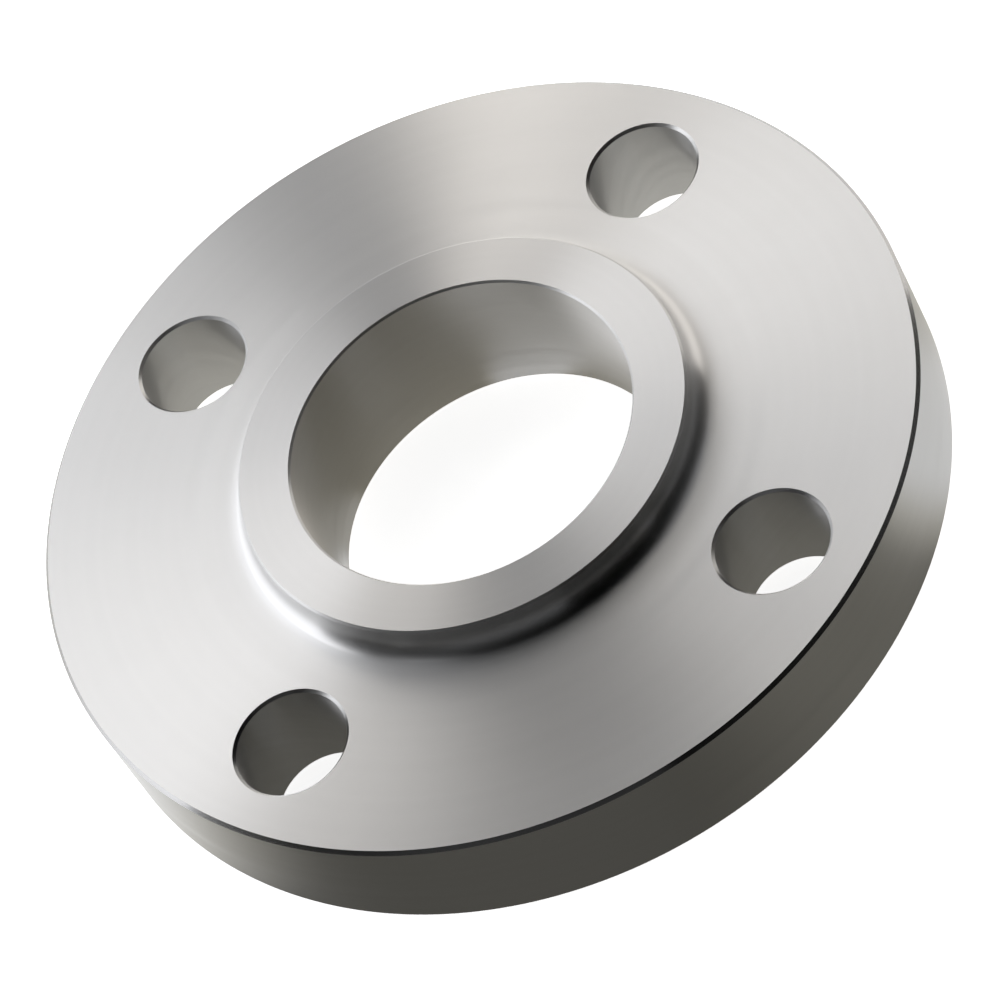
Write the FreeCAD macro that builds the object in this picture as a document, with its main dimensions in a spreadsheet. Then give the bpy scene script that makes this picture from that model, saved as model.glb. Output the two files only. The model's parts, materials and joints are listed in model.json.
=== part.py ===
"""Slip-on pipe flange with a raised face, turned and drilled from one forging.

The raised face lies on the XY plane with its centre at the origin, the bore
runs along Z, and the hub points up. All sizes are millimetres. The sizes chain
outwards from the bore: hub wall, root fillet, nut land, bolt hole, rim land.
"""
import FreeCAD, Part
import math
import os
import Sketcher

NODE = "slip_on_flange"

DRIVING_SIZES = (
    ("bore_diameter", "49.5", "the pipe slips into this"),
    ("hub_wall", "7.75", "of the short collar round the bore"),
    ("hub_height", "4.7", "of the collar above the nut face"),
    ("hub_root_fillet", "3.2", "radius where the collar meets the nut face"),
    ("nut_land", "5.55", "flat between the root fillet and a bolt hole"),
    ("bolt_hole_diameter", "15.9", "straight through the disc"),
    ("bolt_hole_count", "4", "equally spaced, with none on the X axis"),
    ("rim_land", "6.35", "metal between a bolt hole and the rim"),
    ("disc_thickness", "16.5", "of the drilled disc, without the raised face"),
    ("raised_face_height", "1.6", "step from the disc to the gasket face"),
    ("raised_face_gap", "4.75", "between the gasket face and a bolt hole"),
    ("rim_chamfer", "0.5", "at the rim, on the nut side"),
    ("hole_chamfer", "0.4", "at both ends of each bolt hole"),
    ("edge_break", "0.3", "on every other turned edge"),
)
WORKED_OUT_SIZES = (
    ("hub_diameter", "sizes.bore_diameter + 2 * sizes.hub_wall"),
    ("bolt_circle_diameter",
     "hub_diameter + 2 * (sizes.hub_root_fillet + sizes.nut_land) + sizes.bolt_hole_diameter"),
    ("outer_diameter", "bolt_circle_diameter + sizes.bolt_hole_diameter + 2 * sizes.rim_land"),
    ("raised_face_diameter",
     "bolt_circle_diameter - sizes.bolt_hole_diameter - 2 * sizes.raised_face_gap"),
    ("nut_face_height", "sizes.raised_face_height + sizes.disc_thickness"),
    ("overall_height", "nut_face_height + sizes.hub_height"),
)

SAME_PLACE = 1e-4
FILLET_SHARE = 0.9


def make_sheets(doc):
    """Write the driving sizes into one sheet, and what follows from them into another."""
    sizes = doc.addObject("Spreadsheet::Sheet", "sizes")
    for row, (alias, value, note) in enumerate(DRIVING_SIZES, start=1):
        sizes.set(f"A{row}", alias)
        sizes.set(f"B{row}", value)
        sizes.setAlias(f"B{row}", alias)
        sizes.set(f"C{row}", note)
    doc.recompute()
    derived = doc.addObject("Spreadsheet::Sheet", "derived")
    for row, (alias, formula) in enumerate(WORKED_OUT_SIZES, start=1):
        derived.set(f"A{row}", alias)
        derived.set(f"B{row}", f"={formula}")
        derived.setAlias(f"B{row}", alias)
        doc.recompute()
    return sizes, derived


def origin_feature(body, role):
    """Return one plane or axis of the body's own origin."""
    return next(item for item in body.Origin.OriginFeatures if item.Role == role)


def add_sketch(body, name, role):
    """Attach an empty sketch to one of the body's origin planes."""
    sketch = body.newObject("Sketcher::SketchObject", name)
    sketch.AttachmentSupport = [(origin_feature(body, role), "")]
    sketch.MapMode = "FlatFace"
    return sketch


def bind(sketch, name, constraint, expression):
    """Add one named dimension to a sketch and tie it to a sheet."""
    index = sketch.addConstraint(constraint)
    sketch.renameConstraint(index, name)
    sketch.setExpression(f"Constraints.{name}", expression)


def half_section(body, sizes, derived):
    """Draw the turned half section to the right of the axis.

    It runs from the bore along the gasket face, up the step, out to the rim,
    up the rim, in along the nut face, up the hub and back down the bore.
    """
    bore = sizes.bore_diameter / 2
    face = derived.raised_face_diameter / 2
    rim = derived.outer_diameter / 2
    hub = derived.hub_diameter / 2
    step = sizes.raised_face_height
    nut_face = derived.nut_face_height
    top = derived.overall_height
    corners = [(bore, 0), (face, 0), (face, step), (rim, step),
               (rim, nut_face), (hub, nut_face), (hub, top), (bore, top)]

    sketch = add_sketch(body, "half_section", "XZ_Plane")
    points = [FreeCAD.Vector(x, y, 0) for x, y in corners]
    lines = [sketch.addGeometry(Part.LineSegment(start, end))
             for start, end in zip(points, points[1:] + points[:1])]
    for line, following in zip(lines, lines[1:] + lines[:1]):
        sketch.addConstraint(Sketcher.Constraint("Coincident", line, 2, following, 1))
    gasket_line, step_line, under_line, rim_line, nut_line, hub_line, top_line, bore_line = lines
    for line in (gasket_line, under_line, nut_line, top_line):
        sketch.addConstraint(Sketcher.Constraint("Horizontal", line))
    for line in (step_line, rim_line, hub_line, bore_line):
        sketch.addConstraint(Sketcher.Constraint("Vertical", line))
    sketch.addConstraint(Sketcher.Constraint("PointOnObject", gasket_line, 1, -1))

    radii = (("bore_radius", bore_line, bore, "sizes.bore_diameter"),
             ("face_radius", step_line, face, "derived.raised_face_diameter"),
             ("rim_radius", rim_line, rim, "derived.outer_diameter"),
             ("hub_radius", hub_line, hub, "derived.hub_diameter"))
    for name, line, radius, diameter in radii:
        across = Sketcher.Constraint("DistanceX", -1, 1, line, 1, radius)
        bind(sketch, name, across, f"{diameter} / 2")
    heights = (("face_step", step_line, step, "sizes.raised_face_height"),
               ("rim_height", rim_line, sizes.disc_thickness, "sizes.disc_thickness"),
               ("collar_height", hub_line, sizes.hub_height, "sizes.hub_height"))
    for name, line, height, size in heights:
        bind(sketch, name, Sketcher.Constraint("DistanceY", line, 1, line, 2, height), size)
    return sketch


def circle_edges(feature, diameter, heights):
    """Name the feature's circular edges of one diameter at the given heights."""
    names = []
    for number, edge in enumerate(feature.Shape.Edges, start=1):
        curve = edge.Curve
        if not isinstance(curve, Part.Circle) or abs(2 * curve.Radius - diameter) > SAME_PLACE:
            continue
        if any(abs(curve.Center.z - height) < SAME_PLACE for height in heights):
            names.append(f"Edge{number}")
    return names


def dress_edges(body, kind, name, base, circles, size, expression):
    """Add a fillet or chamfer along the circles, each a diameter and its heights."""
    edges = [edge for diameter, heights in circles for edge in circle_edges(base, diameter, heights)]
    if not edges:
        raise RuntimeError(f"{name} found no edge")
    dressed = body.newObject(kind, name)
    dressed.Base = (base, edges)
    dressed.setExpression(size, expression)
    body.Document.recompute()
    return dressed


def turn_blank(body, sizes, derived):
    """Revolve the half section about the bore, then round the root and break the edges."""
    blank = body.newObject("PartDesign::Revolution", "turned_blank")
    blank.Profile = half_section(body, sizes, derived)
    blank.ReferenceAxis = (origin_feature(body, "Z_Axis"), [""])
    blank.Angle = 360
    body.Document.recompute()

    step, nut_face, top = sizes.raised_face_height, derived.nut_face_height, derived.overall_height
    hub, rim = derived.hub_diameter, derived.outer_diameter
    wall_limit = f"{FILLET_SHARE} * (sizes.hub_height - sizes.edge_break)"
    root = dress_edges(body, "PartDesign::Fillet", "hub_root", blank, [(hub, [nut_face])],
                       "Radius", f"min(sizes.hub_root_fillet; {wall_limit})")
    rim_edge = dress_edges(body, "PartDesign::Chamfer", "rim_edge", root, [(rim, [nut_face])],
                           "Size", "sizes.rim_chamfer")
    broken = [(sizes.bore_diameter, [0, top]), (derived.raised_face_diameter, [0]),
              (rim, [step]), (hub, [top])]
    return dress_edges(body, "PartDesign::Chamfer", "broken_edges", rim_edge, broken,
                       "Size", "sizes.edge_break")


def drill_bolt_holes(body, sizes, derived, turned):
    """Cut one bolt hole half a space off the X axis, repeat it round Z and chamfer its ends."""
    radius = sizes.bolt_hole_diameter / 2
    reach = derived.bolt_circle_diameter / 2
    half_space = math.pi / sizes.bolt_hole_count
    centre = FreeCAD.Vector(reach * math.cos(half_space), reach * math.sin(half_space), 0)
    zero = FreeCAD.Vector(0, 0, 0)
    normal = FreeCAD.Vector(0, 0, 1)

    sketch = add_sketch(body, "bolt_hole_place", "XY_Plane")
    bolt_circle = sketch.addGeometry(Part.Circle(zero, normal, reach), True)
    spoke = sketch.addGeometry(Part.LineSegment(zero, centre), True)
    hole = sketch.addGeometry(Part.Circle(centre, normal, radius))
    sketch.addConstraint(Sketcher.Constraint("Coincident", bolt_circle, 3, -1, 1))
    sketch.addConstraint(Sketcher.Constraint("Coincident", spoke, 1, -1, 1))
    sketch.addConstraint(Sketcher.Constraint("PointOnObject", spoke, 2, bolt_circle))
    sketch.addConstraint(Sketcher.Constraint("Coincident", hole, 3, spoke, 2))
    bind(sketch, "bolt_circle", Sketcher.Constraint("Diameter", bolt_circle, 2 * reach),
         "derived.bolt_circle_diameter")
    bind(sketch, "hole_size", Sketcher.Constraint("Diameter", hole, 2 * radius),
         "sizes.bolt_hole_diameter")
    bind(sketch, "half_space", Sketcher.Constraint("Angle", spoke, half_space),
         "180 deg / sizes.bolt_hole_count")

    drilled = body.newObject("PartDesign::Pocket", "bolt_hole")
    drilled.Profile = sketch
    drilled.Type = "ThroughAll"
    drilled.Reversed = True
    ring = body.newObject("PartDesign::PolarPattern", "bolt_hole_ring")
    ring.Originals = [drilled]
    ring.Axis = (origin_feature(body, "Z_Axis"), [""])
    ring.Angle = 360
    ring.setExpression("Occurrences", "sizes.bolt_hole_count")
    body.Tip = ring
    body.Document.recompute()
    if not ring.Shape.Volume < drilled.Shape.Volume < turned.Shape.Volume:
        raise RuntimeError("a bolt hole removed nothing")
    ends = [(sizes.bolt_hole_diameter, [sizes.raised_face_height, derived.nut_face_height])]
    return dress_edges(body, "PartDesign::Chamfer", "hole_edges", ring, ends,
                       "Size", "sizes.hole_chamfer")


def check(doc, body):
    """Stop if any object failed or the flange is not one sound solid."""
    for item in doc.Objects:
        if {"Invalid", "Error"} & set(item.State):
            raise RuntimeError(f"{item.Name} failed: {item.State}")
    shape = body.Shape
    if shape.isNull() or not shape.isValid() or len(shape.Solids) != 1:
        raise RuntimeError("the flange is not one valid solid")


def build():
    """Make the document, build the flange and write its shape."""
    doc = FreeCAD.newDocument("raised_face_flange")
    sizes, derived = make_sheets(doc)
    body = doc.addObject("PartDesign::Body", NODE)
    body.Label = NODE
    body.Placement = FreeCAD.Placement()
    turned = turn_blank(body, sizes, derived)
    drill_bolt_holes(body, sizes, derived, turned)
    doc.recompute()
    check(doc, body)
    os.makedirs("parts", exist_ok=True)
    body.Shape.exportStep(f"parts/{NODE}.step")
    box = body.Shape.optimalBoundingBox(False)
    print(f"{NODE}: {box.XLength:.3f} x {box.YLength:.3f} x {box.ZLength:.3f} mm, "
          f"volume {body.Shape.Volume:.1f} mm3, {len(body.Shape.Faces)} faces")


build()
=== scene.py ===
"""Raised face slip-on flange in satin turned steel, lying on a pale studio sweep."""
import json

import bmesh
import bpy
import numpy as np
from bpy.props import FloatProperty, FloatVectorProperty, IntProperty, PointerProperty
from mathutils import Euler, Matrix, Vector


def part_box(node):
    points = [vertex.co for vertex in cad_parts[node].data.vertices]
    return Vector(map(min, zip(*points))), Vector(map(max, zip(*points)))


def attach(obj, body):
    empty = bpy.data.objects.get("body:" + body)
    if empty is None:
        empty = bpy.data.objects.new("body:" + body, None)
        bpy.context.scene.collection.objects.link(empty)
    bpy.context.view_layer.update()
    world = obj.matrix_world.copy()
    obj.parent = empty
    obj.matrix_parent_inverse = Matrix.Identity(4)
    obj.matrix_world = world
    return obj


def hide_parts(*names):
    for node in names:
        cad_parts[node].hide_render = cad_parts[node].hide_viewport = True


bl_info = {
    "name": "Raised face flange",
    "version": (1, 0, 0),
    "blender": (4, 5, 0),
    "location": "View3D > Sidebar > Flange",
    "description": "Turned steel pipe flange with a raised gasket face and four bolt holes",
    "category": "Object",
}

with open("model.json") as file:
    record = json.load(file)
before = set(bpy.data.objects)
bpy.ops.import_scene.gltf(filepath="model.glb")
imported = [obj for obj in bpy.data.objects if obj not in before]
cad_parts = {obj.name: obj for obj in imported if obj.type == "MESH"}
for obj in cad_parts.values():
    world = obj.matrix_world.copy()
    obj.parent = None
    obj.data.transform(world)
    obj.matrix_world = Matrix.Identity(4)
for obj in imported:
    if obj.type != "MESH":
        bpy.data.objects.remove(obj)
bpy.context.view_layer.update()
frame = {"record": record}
BODY, NODE, SLOT = "root", "slip_on_flange", "turned_steel"
MM = 0.001

MOUNTS = {mount["name"]: mount for mount in frame["record"]["mounts"]}
BORE_RADIUS = MOUNTS["bore"]["dims"]["r_mm"] * MM
HOLE_RADIUS = MOUNTS["bolt_holes"]["dims"]["hole_r_mm"] * MM
BOLT_CIRCLE_RADIUS = MOUNTS["bolt_holes"]["dims"]["pcd_mm"] / 2 * MM
HOLE_COUNT = MOUNTS["bolt_holes"]["dims"]["count"]
NUT_FACE_HEIGHT = MOUNTS["nut_face"]["pos_m"][2]
RIM_RADIUS, _, OVERALL_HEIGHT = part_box(NODE)[1]

# Where the photograph was taken from, found by fitting a camera to the flange's edges:
# the camera's place, its turn in degrees and its focal length in millimetres.
CAMERA_PLACE = Vector((85.851, -430.728, 527.586)) * MM
CAMERA_TURN = (35.6266, 19.7177, -13.9031)
CAMERA_LENS = 177.173
# The way to the back of the studio, which the camera faces, in degrees from the X axis.
STUDIO_TURN = 101.27
# The lamps stand upright round the flange. Each has its sides in degrees right of the back,
# its rises in degrees from the floor, and the names of its level and its tint.
LAMPS = {
    "left_softbox": ((-79.8, -3.2), (0, 54.4), "softbox_level", "cool_tint"),
    "right_strip": ((5.2, 13.5), (0, 66), "strip_level", "warm_tint"),
    "low_lamp": ((-3.2, 5.2), (0, 14), "low_level", "cool_tint"),
    "right_wall": ((13.5, 67.6), (0, 29), "wall_level", "warm_tint"),
    "upper_wall": ((13.5, 67.6), (29, 53.5), "ceiling_level", "warm_tint"),
}
LAMP_DISTANCE = 1.0
# Where the room is pale, in degrees of side and of rise. Three numbers are a start, an end and
# a softness. The front fades out between its two sides, and the floor between its two rises.
CEILING_SIDES, CEILING_RISES = (-103, 83, 20), (50, 70, 3)
FRONT_SIDES, FRONT_RISES = (-140, -110), (-5, 30, 8)
FLOOR_RISES = (-8, -2)
# Painted light on the floor that the steel mirrors: pale patches round the rim, each with its
# start, end and softness in degrees of side, and its share of the level of the pale patches.
PAINTED_PALE_PATCHES = ((-50, 90, 30, 0.85), (-106, -56, 46, 0.9), (98, 128, 16, 0.83))
# Between these sines of side the painted shade on the floor gets paler to the right.
RIGHT_SLOPE = (-0.05, 0.5)
# Between these levels the tint of the floor goes over into white.
PALE_LEVELS = (0.4, 1.2)
# The painted light on the floor under the holes grows from this far in front of the axis to as
# far behind it, and from as far on its left to as far on its right.
HOLE_LIGHT_REACH = 20 * MM
# The floor of the bore is painted paler between these distances from the axis.
BORE_EDGE = (14 * MM, 20 * MM)
# The middle, radius and share of light of each painted pool of light on the bore's floor.
BORE_PATCHES = ((Vector((-17, -4.3, 0)) * MM, 11 * MM, 1.0),
                (Vector((17, -12.8, 0)) * MM, 7.5 * MM, 0.36),
                (Vector((-20, 9, 0)) * MM, 6 * MM, 0.2),
                (Vector((7, 20, 0)) * MM, 6 * MM, 0.35))
# Where a patch starts to fade and where it ends, as shares of its radius.
PATCH_EDGE = (0.7, 1.2)

# Steps along each surface.
SECTOR_STEPS, SIDE_STEPS = 128, 24
RUNOUT_STEPS, ARC_STEPS = 6, 13
HUB_STEPS, BORE_STEPS, RIM_STEPS, HOLE_STEPS = 4, 8, 6, 6
STAGE_STEPS, SWEEP_STEPS, BEND_STEPS, BACKDROP_STEPS = 128, 6, 16, 2
# The rings of a pierced sector, from its edge, which is 0, to its hole, which is 1.
FACE_SHARES = (0, 0.03, 0.14, 0.32, 0.5, 0.68, 0.84, 0.95, 1)
# The angles round a hole, in degrees, that meet the outer and the inner corner of its sector.
CORNER_ANGLES = (80, 110)
# Edges that turn by more degrees than this look sharp.
SHARP_ANGLE = 25
# Points that are nearer than this are joined.
SEAM = 0.001 * MM
# The slope in degrees at which the root's run-out goes over into its arc, and how many points
# of the arc still have the nut face's finish.
LIFT_OFF = 4
ARC_ON_FACE = 3
# The finishes, in the order of the mesh's materials.
FACE, WALL, HOLE, ROOT, HUB, BORE, EDGE = range(7)
# The steel's tone: the share of it that the broad marks give and the stains do not, the noise
# at which it is darkest and palest, and the darkest colour as a share of the palest.
MARK_SHARE = 0.6
TONE_NOISE = (0.3, 0.7)
DARK_SHARE = 0.95
STAINS_PER_METRE = 60
# How much rougher the palest steel is than the darkest, as a share of the roughness.
ROUGHNESS_SPREAD = 0.12
# A quarter turn, with which the shader draws reflections out across the marks.
ACROSS_MARKS = 0.25
# Degrees in a radian.
DEGREES = 180 / np.pi


class FlangeSizes(bpy.types.PropertyGroup):
    """Sizes of the flange. Those that the frame states are taken from it."""

    rim_radius: FloatProperty(
        name="Rim radius", description="From the bore's axis to the rim",
        default=RIM_RADIUS, precision=5, unit="LENGTH")
    bore_radius: FloatProperty(
        name="Bore radius", description="Of the hole that the pipe slips into",
        default=BORE_RADIUS, precision=5, unit="LENGTH")
    hub_radius: FloatProperty(
        name="Hub radius", description="Of the short collar round the bore",
        default=32.5 * MM, precision=5, unit="LENGTH")
    root_fillet: FloatProperty(
        name="Root fillet", description="Radius where the hub's wall meets the nut face",
        default=3.2 * MM, precision=5, unit="LENGTH")
    root_runout: FloatProperty(
        name="Root run-out", description="How far the root fillet fades onto the nut face",
        default=0.9 * MM, precision=5, unit="LENGTH")
    overall_height: FloatProperty(
        name="Overall height", description="From the raised face to the top of the hub",
        default=OVERALL_HEIGHT, precision=5, unit="LENGTH")
    nut_face_height: FloatProperty(
        name="Nut face height",
        description="From the raised face to the face that the nuts bear on",
        default=NUT_FACE_HEIGHT, precision=5, unit="LENGTH")
    raised_face_radius: FloatProperty(
        name="Raised face radius", description="Of the gasket face",
        default=36.5 * MM, precision=5, unit="LENGTH")
    raised_face_step: FloatProperty(
        name="Raised face step", description="Height of the gasket face over the disc",
        default=1.6 * MM, precision=5, unit="LENGTH")
    bolt_circle_radius: FloatProperty(
        name="Bolt circle radius", description="From the bore's axis to a bolt hole's axis",
        default=BOLT_CIRCLE_RADIUS, precision=5, unit="LENGTH")
    hole_radius: FloatProperty(
        name="Bolt hole radius", description="Of each bolt hole's wall",
        default=HOLE_RADIUS, precision=5, unit="LENGTH")
    hole_count: IntProperty(
        name="Bolt holes", description="Number of equally spaced bolt holes",
        default=HOLE_COUNT, min=3, max=12)
    rim_chamfer: FloatProperty(
        name="Rim chamfer", description="At the rim, on the nut side",
        default=0.5 * MM, precision=5, unit="LENGTH")
    hole_chamfer: FloatProperty(
        name="Hole chamfer", description="At both ends of each bolt hole",
        default=0.4 * MM, precision=5, unit="LENGTH")
    edge_break: FloatProperty(
        name="Edge break", description="On every other turned edge",
        default=0.3 * MM, precision=5, unit="LENGTH")
    groove_pitch: FloatProperty(
        name="Groove pitch", description="Between the gasket grooves of the raised face",
        default=0.8 * MM, precision=5, unit="LENGTH")
    groove_depth: FloatProperty(
        name="Groove depth", description="Of the gasket grooves",
        default=0.05 * MM, precision=6, unit="LENGTH")


class SteelFinish(bpy.types.PropertyGroup):
    """The steel's colour and the marks that its tools left."""

    steel_colour: FloatVectorProperty(
        name="Steel colour", description="What the bare steel mirrors head on",
        default=(0.65, 0.65, 0.647), subtype="COLOR", min=0, max=1)
    bore_colour: FloatVectorProperty(
        name="Bore colour", description="What the bored steel mirrors head on",
        default=(0.655, 0.647, 0.63), subtype="COLOR", min=0, max=1)
    face_roughness: FloatProperty(
        name="Face roughness", description="Of the turned faces",
        default=0.37, subtype="FACTOR", min=0, max=1)
    wall_roughness: FloatProperty(
        name="Wall roughness", description="Of the rim and of the raised face's step",
        default=0.37, subtype="FACTOR", min=0, max=1)
    root_roughness: FloatProperty(
        name="Root roughness", description="Of the hub's wall and its root fillet",
        default=0.3, subtype="FACTOR", min=0, max=1)
    bore_roughness: FloatProperty(
        name="Bore roughness", description="Of the bore",
        default=0.5, subtype="FACTOR", min=0, max=1)
    edge_roughness: FloatProperty(
        name="Edge roughness", description="Of the chamfer at the rim",
        default=0.25, subtype="FACTOR", min=0, max=1)
    hub_colour: FloatVectorProperty(
        name="Hub colour", description="What the hub's top face mirrors head on",
        default=(0.605, 0.605, 0.603), subtype="COLOR", min=0, max=1)
    edge_colour: FloatVectorProperty(
        name="Edge colour", description="What the chamfer at the rim mirrors head on",
        default=(0.5, 0.5, 0.498), subtype="COLOR", min=0, max=1)
    hole_roughness: FloatProperty(
        name="Hole roughness", description="Of the drilled bolt holes",
        default=0.37, subtype="FACTOR", min=0, max=1)
    grain: FloatProperty(
        name="Grain", description="How far the tool marks draw out a reflection across them",
        default=0.94, subtype="FACTOR", min=0, max=1)
    mark_width: FloatProperty(
        name="Mark width", description="From one turning mark to the next",
        default=0.35 * MM, precision=5, unit="LENGTH")
    mark_depth: FloatProperty(
        name="Mark depth", description="Of the turning marks",
        default=0.002 * MM, precision=7, unit="LENGTH")


class StudioLook(bpy.types.PropertyGroup):
    """The sweep that the flange lies on, the light round it, and the painted shade and light of the
    floor that the steel mirrors.
    """

    sweep_colour: FloatVectorProperty(
        name="Sweep colour", description="Of the floor and the backdrop",
        default=(0.9, 0.9, 0.9), subtype="COLOR", min=0, max=1)
    sweep_glow: FloatProperty(
        name="Sweep glow", description="Light that comes through the sweep from behind it",
        default=0.95, min=0, max=1)
    sweep_radius: FloatProperty(
        name="Sweep radius", description="From the flange to the backdrop",
        default=3.0, unit="LENGTH")
    sweep_bend: FloatProperty(
        name="Sweep bend", description="Radius of the bend from the floor up to the backdrop",
        default=0.6, unit="LENGTH")
    sweep_height: FloatProperty(
        name="Sweep height", description="Height of the backdrop over the floor",
        default=2.0, unit="LENGTH")
    table_radius: FloatProperty(
        name="Table radius", description="How far the floor reaches that the steel mirrors",
        default=0.4, unit="LENGTH")
    cool_tint: FloatVectorProperty(
        name="Cool tint", description="Of the light from the left and of the ceiling",
        default=(0.965, 0.973, 1.0), subtype="COLOR", min=0, max=1)
    warm_tint: FloatVectorProperty(
        name="Warm tint", description="Of the light from the right",
        default=(1.0, 0.955, 0.90), subtype="COLOR", min=0, max=1)
    # The painted shade on the floor that the steel mirrors takes these two tints.
    table_tint: FloatVectorProperty(
        name="Table tint", description="Of the shaded floor, as the steel mirrors it",
        default=(1.0, 0.96, 0.84), subtype="COLOR", min=0, max=1)
    bore_tint: FloatVectorProperty(
        name="Bore tint", description="Of the shaded floor of the bore, as the steel mirrors it",
        default=(1.0, 0.945, 0.79), subtype="COLOR", min=0, max=1)
    softbox_level: FloatProperty(
        name="Softbox level", description="Brightness of the broad softbox behind on the left",
        default=1.86, min=0, max=10)
    strip_level: FloatProperty(
        name="Strip level", description="Brightness of the narrow strip lamp behind on the right",
        default=3.6, min=0, max=10)
    low_level: FloatProperty(
        name="Low lamp level", description="Brightness of the low lamp in the gap between them",
        default=6.0, min=0, max=10)
    wall_level: FloatProperty(
        name="Wall level", description="Brightness of the pale wall on the right",
        default=1.41, min=0, max=5)
    ceiling_level: FloatProperty(
        name="Ceiling level", description="Brightness of the pale wall and ceiling over the lamps",
        default=0.42, min=0, max=2)
    front_level: FloatProperty(
        name="Front level", description="Brightness of the room in front, low behind the camera",
        default=0.12, min=0, max=1)
    # Levels of the painted shade and painted light on the floor that the steel mirrors; the room's
    # dim floor also takes the table level.
    table_level: FloatProperty(
        name="Table level", description="Brightness of the shaded floor, as the steel mirrors it",
        default=0.12, min=0, max=1)
    table_lift: FloatProperty(
        name="Table lift", description="How much brighter the shaded floor is on the right",
        default=0.11, min=0, max=1)
    hole_floor_level: FloatProperty(
        name="Hole floor level", description="Brightness of the floor under the bolt holes",
        default=0.156, min=0, max=1)
    right_hole_light: FloatProperty(
        name="Right hole light", description="Added light under the bolt holes on the right",
        default=0.09, min=0, max=1)
    bore_floor_level: FloatProperty(
        name="Bore floor level", description="Brightness of the shaded floor of the bore",
        default=0.336, min=0, max=1)
    bore_edge_light: FloatProperty(
        name="Bore edge light", description="Added light along the edge of the bore's floor",
        default=0.0995, min=0, max=1)
    hole_light: FloatProperty(
        name="Hole light", description="Added light under the two bolt holes at the back",
        default=0.52, min=0, max=2)
    bore_light: FloatProperty(
        name="Bore light", description="Brightness of the lit patches on the floor of the bore",
        default=1.99, min=0, max=5)
    # Painted light: the pale patches round the rim on the floor that the steel mirrors.
    painted_pale_level: FloatProperty(
        name="Card level", description="Brightness of the pale cards round the rim",
        default=1.0, min=0, max=5)


class Value:
    """A node's output that sums are written with: each operator adds one Math node."""

    def __init__(self, net, socket):
        self.net = net
        self.socket = socket

    def math(self, operation, *others):
        """Work out an operation of this value and others, in this order."""
        return self.net.node("ShaderNodeMath", {"operation": operation},
                             dict(enumerate((self, *others))))

    def turned_round(self, operation, other):
        """Work out an operation of another value and this one."""
        return self.net.node("ShaderNodeMath", {"operation": operation}, {0: other, 1: self})

    def __add__(self, other):
        return self.math("ADD", other)

    def __sub__(self, other):
        return self.math("SUBTRACT", other)

    def __mul__(self, other):
        return self.math("MULTIPLY", other)

    def __truediv__(self, other):
        return self.math("DIVIDE", other)

    def __radd__(self, other):
        return self.turned_round("ADD", other)

    def __rsub__(self, other):
        return self.turned_round("SUBTRACT", other)

    def __rmul__(self, other):
        return self.turned_round("MULTIPLY", other)

    def __rtruediv__(self, other):
        return self.turned_round("DIVIDE", other)


class Net:
    """The nodes of a material or a world."""

    def __init__(self, tree):
        self.tree = tree
        tree.nodes.clear()

    def node(self, kind, settings=None, inputs=None, output=0):
        """Add a node with its settings, then the values or links of its sockets; give an output."""
        made = self.tree.nodes.new(kind)
        for name, setting in (settings or {}).items():
            setattr(made, name, setting)
        for name, value in (inputs or {}).items():
            if isinstance(value, Value):
                self.tree.links.new(value.socket, made.inputs[name])
            else:
                made.inputs[name].default_value = value
        return Value(self, made.outputs[output]) if made.outputs else None

    def blend(self, share, first, second):
        """A colour that goes from the first to the second as the share goes from 0 to 1."""
        return self.node("ShaderNodeMix", {"data_type": "RGBA"}, {0: share, 6: first, 7: second}, 2)

    def slope(self, value, start, end):
        """Smooth step: 0 up to the start, 1 from the end on, and an S curve between them."""
        return self.node("ShaderNodeMapRange", {"interpolation_type": "SMOOTHSTEP"},
                         {"Value": value, "From Min": start, "From Max": end})

    def window(self, value, start, end, soft):
        """1 between the start and the end and 0 outside them, with edges as wide as soft."""
        rise = self.slope(value, start - soft / 2, start + soft / 2)
        fall = self.slope(value, end - soft / 2, end + soft / 2)
        return rise * (1 - fall)

    def along(self, place, way):
        """How far a place is in a direction: their dot product."""
        return self.node("ShaderNodeVectorMath", {"operation": "DOT_PRODUCT"},
                         {0: place, 1: way}, "Value")

    def length(self, place):
        """How far a place is from the origin."""
        return self.node("ShaderNodeVectorMath", {"operation": "LENGTH"}, {0: place}, "Value")


def line(start, end, pieces):
    """Evenly spaced points of the half section from start to end: start (1 - t) + end t."""
    share = np.linspace(0, 1, pieces + 1)[:, None]
    return np.array(start) * (1 - share) + np.array(end) * share


def root_runout(sizes):
    """The start of the curve from the nut face into the hub's wall.

    A parabola that lifts off the nut face and steepens until it meets the fillet's arc.
    """
    radius, lift_off = sizes.root_fillet, np.radians(LIFT_OFF)
    start = sizes.hub_radius + radius + sizes.root_runout
    reach = sizes.root_runout + radius * np.sin(lift_off)
    share = np.linspace(0, 1, RUNOUT_STEPS + 1)[:-1]
    rise = reach * np.tan(lift_off) / 2
    return np.stack([start - reach * share, sizes.nut_face_height + rise * share ** 2], -1)


def root_arc(sizes):
    """The arc that goes on with the run-out's slope until it stands upright at the hub's wall.

    Its points are (m - R sin a, n - R cos a) round its middle (m, n).
    """
    radius, lift_off = sizes.root_fillet, np.radians(LIFT_OFF)
    reach = sizes.root_runout + radius * np.sin(lift_off)
    turn = np.linspace(lift_off, np.pi / 2, ARC_STEPS + 1)
    middle = sizes.nut_face_height + reach * np.tan(lift_off) / 2 + radius * np.cos(lift_off)
    return np.stack([sizes.hub_radius + radius - radius * np.sin(turn),
                     middle - radius * np.cos(turn)], -1)


def gasket_face(sizes):
    """The raised face from the bore to its step: V grooves, 0 at the ridges and one depth up."""
    start = sizes.bore_radius + sizes.edge_break
    end = sizes.raised_face_radius - sizes.edge_break
    points = line((start, 0), (end, 0), 2 * round((end - start) / sizes.groove_pitch))
    points[1::2, 1] = sizes.groove_depth
    return points


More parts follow.
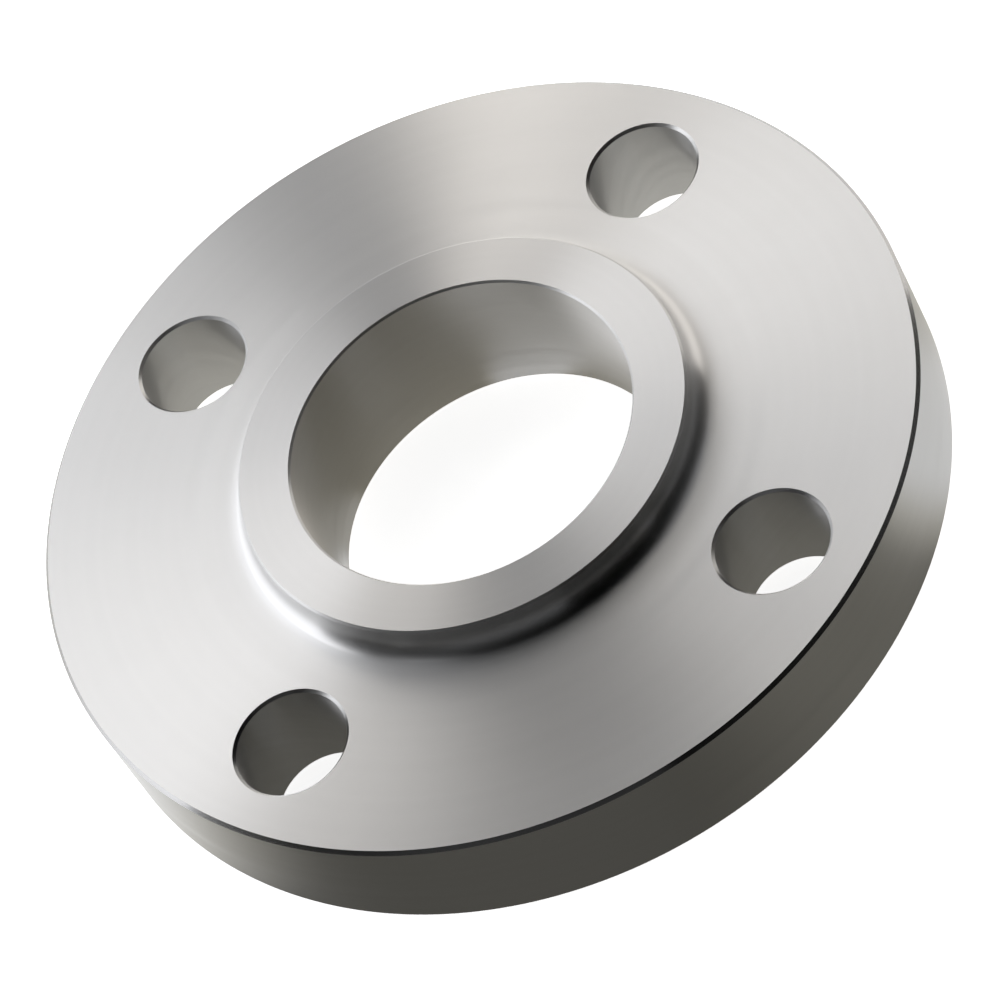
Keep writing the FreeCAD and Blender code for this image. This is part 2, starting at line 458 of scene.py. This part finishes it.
def inner_parts(sizes):
    """Half section from the nut face over the hub, down the bore and out over the raised face.

    It comes in parts, each with the finish of the faces that start at its points.
    """
    cut, top, arc = sizes.edge_break, sizes.overall_height, root_arc(sizes)
    hub_wall = [[sizes.hub_radius, top - cut]]
    hub_top = line((sizes.hub_radius - cut, top), (sizes.bore_radius + cut, top), HUB_STEPS)
    bore = line((sizes.bore_radius, top - cut), (sizes.bore_radius, cut), BORE_STEPS)
    step = [[sizes.raised_face_radius, cut], [sizes.raised_face_radius, sizes.raised_face_step]]
    return [(root_runout(sizes), FACE), (arc[:ARC_ON_FACE], FACE), (arc[ARC_ON_FACE:], ROOT),
            (hub_wall, HUB), (hub_top, HUB), (bore, BORE), (gasket_face(sizes), FACE),
            (step, WALL)]


def outer_parts(sizes):
    """Half section from the disc's underside up the rim to the nut face, in parts too."""
    under = [[sizes.rim_radius - sizes.edge_break, sizes.raised_face_step]]
    rim = line((sizes.rim_radius, sizes.raised_face_step + sizes.edge_break),
               (sizes.rim_radius, sizes.nut_face_height - sizes.rim_chamfer), RIM_STEPS)
    edge = [[sizes.rim_radius - sizes.rim_chamfer, sizes.nut_face_height]]
    return [(under, WALL), (rim[:-1], WALL), (rim[-1:], EDGE), (edge, EDGE)]


def carry_round(section, steps):
    """The grid of a half section that is carried round the axis: (r cos a, r sin a, z)."""
    angle = np.arange(steps) * 2 * np.pi / steps
    radius, height = section[:, :1], section[:, 1:]
    return np.stack([radius * np.cos(angle), radius * np.sin(angle), height + 0 * angle], -1)


def revolve(parts, sectors):
    """Carry the parts of a half section round the axis, and list their rows' finishes."""
    section = np.vstack([points for points, _ in parts])
    finishes = np.concatenate([np.full(len(points), finish) for points, finish in parts])
    return carry_round(section, sectors * SECTOR_STEPS), finishes[:-1]


def sector_edge(inner, outer, half):
    """The closed edge of a ring's sector, counterclockwise: outer arc, side, inner arc, side."""
    arc = np.linspace(-half, half, SECTOR_STEPS + 1)[:-1]
    inwards = np.linspace(outer, inner, SIDE_STEPS + 1)[:-1]
    outwards = np.linspace(inner, outer, SIDE_STEPS + 1)[:-1]
    radius = np.concatenate([np.full(SECTOR_STEPS, outer), inwards,
                             np.full(SECTOR_STEPS, inner), outwards])
    angle = np.concatenate([arc, np.full(SIDE_STEPS, half), -arc, np.full(SIDE_STEPS, -half)])
    return np.stack([radius * np.cos(angle), radius * np.sin(angle)], -1)


def pierced_sector(edge, circle, height):
    """A flat sector with a round hole: edge (1 - t) + circle t, point by point."""
    share = np.array(FACE_SHARES)[:, None, None]
    flat = edge * (1 - share) + circle * share
    return np.concatenate([flat, np.full(flat.shape[:2] + (1,), height)], -1)


def hole_section(sizes):
    """Radius and height down a bolt hole, from the nut face to the disc's underside."""
    cut, top, bottom = sizes.hole_chamfer, sizes.nut_face_height, sizes.raised_face_step
    wall = line((sizes.hole_radius, top - cut), (sizes.hole_radius, bottom + cut), HOLE_STEPS)
    mouth = sizes.hole_radius + cut
    return np.vstack([[[mouth, top]], wall, [[mouth, bottom]]])


def hole_sector(sizes):
    """The parts of one sector that belong to its bolt hole, with the hole on the X axis.

    The hole's wall is its section carried round: centre + r (cos a, sin a). The angles a
    grow evenly along each part of the sector's edge, and CORNER_ANGLES gives them at its
    outer and inner corners, so that no line from the edge to the hole crosses another.
    """
    half = np.pi / sizes.hole_count
    centre = np.array([sizes.bolt_circle_radius, 0])
    top_edge = sector_edge(root_runout(sizes)[0, 0], sizes.rim_radius - sizes.rim_chamfer, half)
    low_edge = sector_edge(sizes.raised_face_radius, sizes.rim_radius - sizes.edge_break, half)
    outer, inner = CORNER_ANGLES
    corners = np.cumsum([0, SECTOR_STEPS, SIDE_STEPS, SECTOR_STEPS, SIDE_STEPS])
    turn = np.radians(np.interp(np.arange(corners[-1]), corners,
                                [-outer, outer, inner, 360 - inner, 360 - outer]))
    ray = np.stack([np.cos(turn), np.sin(turn)], -1)
    section = hole_section(sizes)
    wall = centre + ray * section[:, :1, None]
    wall = np.concatenate([wall, section[:, 1:, None] + 0 * ray[None, :, :1]], -1)
    top_face = pierced_sector(top_edge, wall[0, :, :2], sizes.nut_face_height)
    low_face = pierced_sector(low_edge, wall[-1, :, :2], sizes.raised_face_step)
    return top_face, wall, low_face[::-1]


def spin(grid, angle):
    """Turn a grid of points about Z: (x cos a - y sin a, x sin a + y cos a, z)."""
    turn = np.array([[np.cos(angle), np.sin(angle), 0], [-np.sin(angle), np.cos(angle), 0],
                     [0, 0, 1]])
    return grid @ turn


def ring_quads(rows, columns, first=0):
    """The quads of a grid whose rows run on round, from its first point's number on."""
    index = first + np.arange(rows * columns).reshape(rows, columns)
    index = np.hstack([index, index[:, :1]])
    return np.stack([index[:-1, :-1], index[:-1, 1:], index[1:, 1:], index[1:, :-1]],
                    -1).reshape(-1, 4)


def make_mesh(name, grids):
    """One closed mesh of grids that all run on round, with a finish number for each row."""
    corners, finishes, count = [], [], 0
    for grid, finish in grids:
        rows, columns = grid.shape[:2]
        corners.append(ring_quads(rows, columns, count))
        finishes.append(np.repeat(np.broadcast_to(finish, rows - 1), columns))
        count += rows * columns
    points = np.concatenate([grid.reshape(-1, 3) for grid, _ in grids])
    mesh = bpy.data.meshes.new(name)
    mesh.from_pydata(points, [], np.concatenate(corners))
    mesh.polygons.foreach_set("material_index", np.concatenate(finishes))
    close_seams(mesh)
    return mesh


def close_seams(mesh):
    """Join the points that neighbouring grids share, turn the faces out and smooth them."""
    work = bmesh.new()
    work.from_mesh(mesh)
    bmesh.ops.remove_doubles(work, verts=work.verts, dist=SEAM)
    bmesh.ops.recalc_face_normals(work, faces=work.faces)
    work.to_mesh(mesh)
    work.free()
    mesh.polygons.foreach_set("use_smooth", np.ones(len(mesh.polygons), bool))
    mesh.set_sharp_from_angle(angle=np.radians(SHARP_ANGLE))
    mesh.update()


def steel(name, finish, base, roughness, mark_length):
    """Bare steel with tool marks that run round the axis.

    The marks are noise of one number, z - r, which grows along the half section of
    faces and walls alike. They draw reflections out across themselves.
    """
    material = bpy.data.materials.new(name)
    material.use_nodes = True
    net = Net(material.node_tree)
    place = net.node("ShaderNodeTexCoord", output="Object")
    flat = net.node("ShaderNodeVectorMath", {"operation": "MULTIPLY"}, {0: place, 1: (1, 1, 0)})
    along = net.node("ShaderNodeSeparateXYZ", {}, {0: place}, "Z") - net.length(flat)
    fine = net.node("ShaderNodeTexNoise", {"noise_dimensions": "1D"},
                    {"W": along / finish.mark_width, "Scale": 1.0, "Detail": 3.0,
                     "Roughness": 0.6})
    broad = net.node("ShaderNodeTexNoise", {"noise_dimensions": "1D"},
                     {"W": along / mark_length, "Scale": 1.0, "Detail": 2.0, "Roughness": 0.5})
    stains = net.node("ShaderNodeTexNoise", {"noise_dimensions": "3D"},
                      {"Vector": place, "Scale": STAINS_PER_METRE, "Detail": 4.0,
                       "Roughness": 0.55})
    tone = net.slope(broad * MARK_SHARE + stains * (1 - MARK_SHARE), *TONE_NOISE)
    colour = net.blend(tone, [DARK_SHARE * part for part in base] + [1], [*base, 1])
    bump = net.node("ShaderNodeBump", {},
                    {"Strength": 1.0, "Distance": finish.mark_depth, "Height": fine})
    shader = net.node("ShaderNodeBsdfPrincipled", {},
                      {"Base Color": colour, "Metallic": 1.0,
                       "Roughness": (roughness * (1 - ROUGHNESS_SPREAD / 2)
                                     + roughness * ROUGHNESS_SPREAD * tone),
                       "Anisotropic": finish.grain, "Anisotropic Rotation": ACROSS_MARKS,
                       "Normal": bump})
    net.node("ShaderNodeOutputMaterial", {}, {"Surface": shader})
    return material


class FLANGE_OT_turned_body(bpy.types.Operator):
    """Build the flange: a drilled disc with a hub, a through bore and a grooved gasket face"""

    bl_idname = "flange.turned_body"
    bl_label = "Turned body"

    def execute(self, context):
        """Make the grids, join them, and give them their seven finishes."""
        sizes, finish = context.scene.flange_sizes, context.scene.steel_finish
        grids = [revolve(parts(sizes), sizes.hole_count) for parts in (inner_parts, outer_parts)]
        top_face, wall, low_face = hole_sector(sizes)
        for number in range(sizes.hole_count):
            angle = (2 * number + 1) * np.pi / sizes.hole_count
            grids += [(spin(top_face, angle), FACE), (spin(wall, angle), HOLE),
                      (spin(low_face, angle), FACE)]
        mesh = make_mesh("turned_flange", grids)
        # The last number is the length of the broad marks.
        for name, colour, roughness, mark_length in (
                ("faced_steel", finish.steel_colour, finish.face_roughness, 5 * MM),
                ("turned_wall_steel", finish.steel_colour, finish.wall_roughness, 3 * MM),
                ("drilled_steel", finish.steel_colour, finish.hole_roughness, 2 * MM),
                ("root_steel", finish.steel_colour, finish.root_roughness, 3 * MM),
                ("hub_steel", finish.hub_colour, finish.face_roughness, 3 * MM),
                ("bored_steel", finish.bore_colour, finish.bore_roughness, 2 * MM),
                ("chamfered_steel", finish.edge_colour, finish.edge_roughness, 2 * MM)):
            mesh.materials.append(steel(name, finish, colour, roughness, mark_length))
        piece = bpy.data.objects.new("turned_flange", mesh)
        context.scene.collection.objects.link(piece)
        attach(piece, BODY)
        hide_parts(NODE)
        return {"FINISHED"}


def sweep_mesh(look):
    """The floor and backdrop: a flat disc, a quarter circle up from its edge and a wall above.

    The profile is (r, 0), (R + b sin a, b - b cos a), (R + b, z), carried round the axis. The
    disc's innermost row has a radius of 1 mm and is closed by one face.
    """
    radius, bend, height = look.sweep_radius, look.sweep_bend, look.sweep_height
    turn = np.linspace(0, np.pi / 2, BEND_STEPS + 1)
    disc = line((MM, 0), (radius, 0), SWEEP_STEPS)[:-1]
    quarter = np.stack([radius + bend * np.sin(turn), bend - bend * np.cos(turn)], -1)
    wall = line((radius + bend, bend), (radius + bend, height), BACKDROP_STEPS)[1:]
    grid = carry_round(np.vstack([disc, quarter, wall]), STAGE_STEPS)
    inwards = ring_quads(len(grid), STAGE_STEPS)[:, [0, 3, 2, 1]]
    mesh = bpy.data.meshes.new("sweep")
    mesh.from_pydata(grid.reshape(-1, 3), [], [*inwards.tolist(), list(range(STAGE_STEPS))])
    mesh.polygons.foreach_set("use_smooth", np.ones(len(mesh.polygons), bool))
    return mesh


def disc_mesh(radius):
    """A flat round sheet: (r cos a, r sin a, 0)."""
    mesh = bpy.data.meshes.new("disc")
    mesh.from_pydata(carry_round(np.array([[radius, 0]]), STAGE_STEPS)[0], [],
                     [range(STAGE_STEPS)])
    return mesh


def add_sheet(scene, name, mesh, surface):
    """Link a sheet of the stage, with a material whose shader the given function makes."""
    material = bpy.data.materials.new(name)
    material.use_nodes = True
    net = Net(material.node_tree)
    net.node("ShaderNodeOutputMaterial", {}, {"Surface": surface(net)})
    mesh.materials.append(material)
    sheet = bpy.data.objects.new(name, mesh)
    scene.collection.objects.link(sheet)
    sheet.visible_shadow = False
    return sheet


def make_sweep(scene, look):
    """White paper lit through from behind, which the camera sees and the steel does not."""
    colour = [*look.sweep_colour, 1]

    def lit_paper(net):
        """White that scatters light, plus a glow of its own."""
        paper = net.node("ShaderNodeBsdfDiffuse", {}, {"Color": colour})
        glow = net.node("ShaderNodeEmission", {}, {"Color": colour, "Strength": look.sweep_glow})
        return net.node("ShaderNodeAddShader", {}, {0: paper, 1: glow})

    sweep = add_sheet(scene, "sweep", sweep_mesh(look), lit_paper)
    sweep.visible_glossy = False


def make_painted_reflection_floor(scene, look):
    """A glowing sheet with painted shade and painted light, seen only in reflections: the floor as
    the steel mirrors it, in the flange's painted shade, with painted light that gets past.

    Its painted shade grows paler to the right. It has painted pale patches beside and behind
    the rim, is painted paler under the holes at the back and on the right, and has painted
    pools of light and a paler edge in the bore.
    """
    reach = HOLE_LIGHT_REACH

    def painted_floor_shade(net):
        """Painted shade and light: a level for each ring of the floor, and a tint that fades as it
        rises.
        """
        place = net.node("ShaderNodeTexCoord", output="Object")
        back, right = [net.along(place, studio_way(side)) for side in (0, 90)]
        side = right.math("ARCTAN2", back) * DEGREES
        distance = net.length(place)
        # Painted light under the holes, painted shade with painted pools of light in the bore, and
        # painted shade beside the rim that grows paler to the right.
        under_holes = (look.hole_floor_level + look.hole_light * net.slope(back, -reach, reach)
                       + look.right_hole_light * net.slope(right, -reach, reach))
        in_bore = look.bore_floor_level + look.bore_edge_light * net.slope(distance, *BORE_EDGE)
        for middle, radius, share in BORE_PATCHES:
            apart = net.node("ShaderNodeVectorMath", {"operation": "DISTANCE"},
                             {0: place, 1: middle}, "Value")
            patch = 1 - net.slope(apart, *(edge * radius for edge in PATCH_EDGE))
            in_bore = in_bore + patch * (share * look.bore_light)
        beside_rim = (look.table_level
                      + look.table_lift * net.slope(right / distance, *RIGHT_SLOPE))
        # Painted light: pale patches on the floor beside and behind the rim.
        for start, end, soft, share in PAINTED_PALE_PATCHES:
            painted_pale_patch = net.window(side, start, end, soft)
            beside_rim = beside_rim + painted_pale_patch * (share * look.painted_pale_level)
        past_bore = net.slope(distance, BORE_RADIUS - MM / 2, BORE_RADIUS + MM / 2)
        past_rim = net.slope(distance, RIM_RADIUS - MM, RIM_RADIUS)
        level = (in_bore * (1 - past_bore) + under_holes * (past_bore - past_rim)
                 + beside_rim * past_rim)
        tint = net.blend(past_bore, [*look.bore_tint, 1], [*look.table_tint, 1])
        colour = net.blend(net.slope(level, *PALE_LEVELS), tint, (1, 1, 1, 1))
        return net.node("ShaderNodeEmission", {}, {"Color": colour, "Strength": level})

    # The sheet glows with this painted shade and light, and only reflections see it.
    table = add_sheet(scene, "table", disc_mesh(look.table_radius), painted_floor_shade)
    table.visible_camera = False
    table.visible_diffuse = False


def make_camera(scene):
    """The photograph's camera."""
    data = bpy.data.cameras.new("camera")
    data.lens = CAMERA_LENS
    camera = bpy.data.objects.new("camera", data)
    scene.collection.objects.link(camera)
    camera.location = CAMERA_PLACE
    camera.rotation_euler = Euler(np.radians(CAMERA_TURN))
    scene.camera = camera


def studio_way(side):
    """The level way from the flange to a side in degrees right of the back: (cos a, sin a, 0)."""
    turn = np.radians(STUDIO_TURN - side)
    return Vector((np.cos(turn), np.sin(turn), 0))


def add_lamp(scene, name, sides, rises, level, tint):
    """An upright lamp that fills the given degrees of side and rise as the flange sees them.

    At the distance d it is 2 d tan((s1 - s0) / 2) wide and reaches from d tan r0 to d tan r1.
    """
    low, high = LAMP_DISTANCE * np.tan(np.radians(rises))
    data = bpy.data.lights.new(name, "AREA")
    data.shape = "RECTANGLE"
    data.size = 2 * LAMP_DISTANCE * np.tan(np.radians(sides[1] - sides[0]) / 2)
    data.size_y = high - low
    data.energy = level * np.pi * data.size * data.size_y
    data.color = tint
    lamp = bpy.data.objects.new(name, data)
    scene.collection.objects.link(lamp)
    way = studio_way(sum(sides) / 2)
    lamp.location = way * LAMP_DISTANCE + Vector((0, 0, (low + high) / 2))
    lamp.rotation_euler = (-way).to_track_quat("-Z", "Y").to_euler()


def light_room(scene, look):
    """The room as the steel mirrors it: a pale ceiling, a dim floor and front, the rest dark."""
    world = bpy.data.worlds.new("studio_room")
    scene.world = world
    world.use_nodes = True
    net = Net(world.node_tree)
    way = net.node("ShaderNodeTexCoord", output="Generated")
    back, right, up = [net.along(way, axis)
                       for axis in (studio_way(0), studio_way(90), (0, 0, 1))]
    side = right.math("ARCTAN2", back) * DEGREES
    rise = up.math("ARCSINE") * DEGREES
    ceiling = net.window(side, *CEILING_SIDES) * net.window(rise, *CEILING_RISES)
    floor = 1 - net.slope(rise, *FLOOR_RISES)
    front = (1 - net.slope(side, *FRONT_SIDES)) * net.window(rise, *FRONT_RISES)
    level = (ceiling * look.ceiling_level + floor * look.table_level
             + front * look.front_level)
    light = net.node("ShaderNodeBackground", {}, {"Color": [*look.cool_tint, 1],
                                                 "Strength": level})
    net.node("ShaderNodeOutputWorld", {}, {"Surface": light})


class FLANGE_OT_studio(bpy.types.Operator):
    """Set the stage: the sweep, the lamps, the room and the camera"""

    bl_idname = "flange.studio"
    bl_label = "Studio"

    def execute(self, context):
        """Make each of them, and have colours shown as they are written."""
        scene, look = context.scene, context.scene.studio_look
        make_sweep(scene, look)
        make_painted_reflection_floor(scene, look)
        make_camera(scene)
        for name, (sides, rises, level, tint) in LAMPS.items():
            add_lamp(scene, name, sides, rises, getattr(look, level), getattr(look, tint))
        light_room(scene, look)
        scene.view_settings.view_transform = "Standard"
        return {"FINISHED"}


class FLANGE_PT_sidebar(bpy.types.Panel):
    """Sizes, finish and stage of the flange"""

    bl_idname = "FLANGE_PT_sidebar"
    bl_label = "Raised face flange"
    bl_space_type = "VIEW_3D"
    bl_region_type = "UI"
    bl_category = "Flange"

    def draw(self, context):
        """List every size and colour, each group under the operator that uses it."""
        scene = context.scene
        for operator, groups in (
                (FLANGE_OT_turned_body, (scene.flange_sizes, scene.steel_finish)),
                (FLANGE_OT_studio, (scene.studio_look,))):
            box = self.layout.box()
            box.operator(operator.bl_idname)
            for group in groups:
                for name in group.__annotations__:
                    box.prop(group, name)


CLASSES = (FlangeSizes, SteelFinish, StudioLook, FLANGE_OT_turned_body, FLANGE_OT_studio,
           FLANGE_PT_sidebar)
GROUPS = {"flange_sizes": FlangeSizes, "steel_finish": SteelFinish, "studio_look": StudioLook}


def register():
    """Make the classes and the scene's three groups of properties known."""
    for known in CLASSES:
        bpy.utils.register_class(known)
    for name, group in GROUPS.items():
        setattr(bpy.types.Scene, name, PointerProperty(type=group))


def unregister():
    """Take them back in the opposite order."""
    for name in GROUPS:
        delattr(bpy.types.Scene, name)
    for known in reversed(CLASSES):
        bpy.utils.unregister_class(known)


def main():
    """Build the flange and its stage."""
    register()
    bpy.ops.flange.turned_body()
    bpy.ops.flange.studio()


if __name__ == "__main__":
    main()
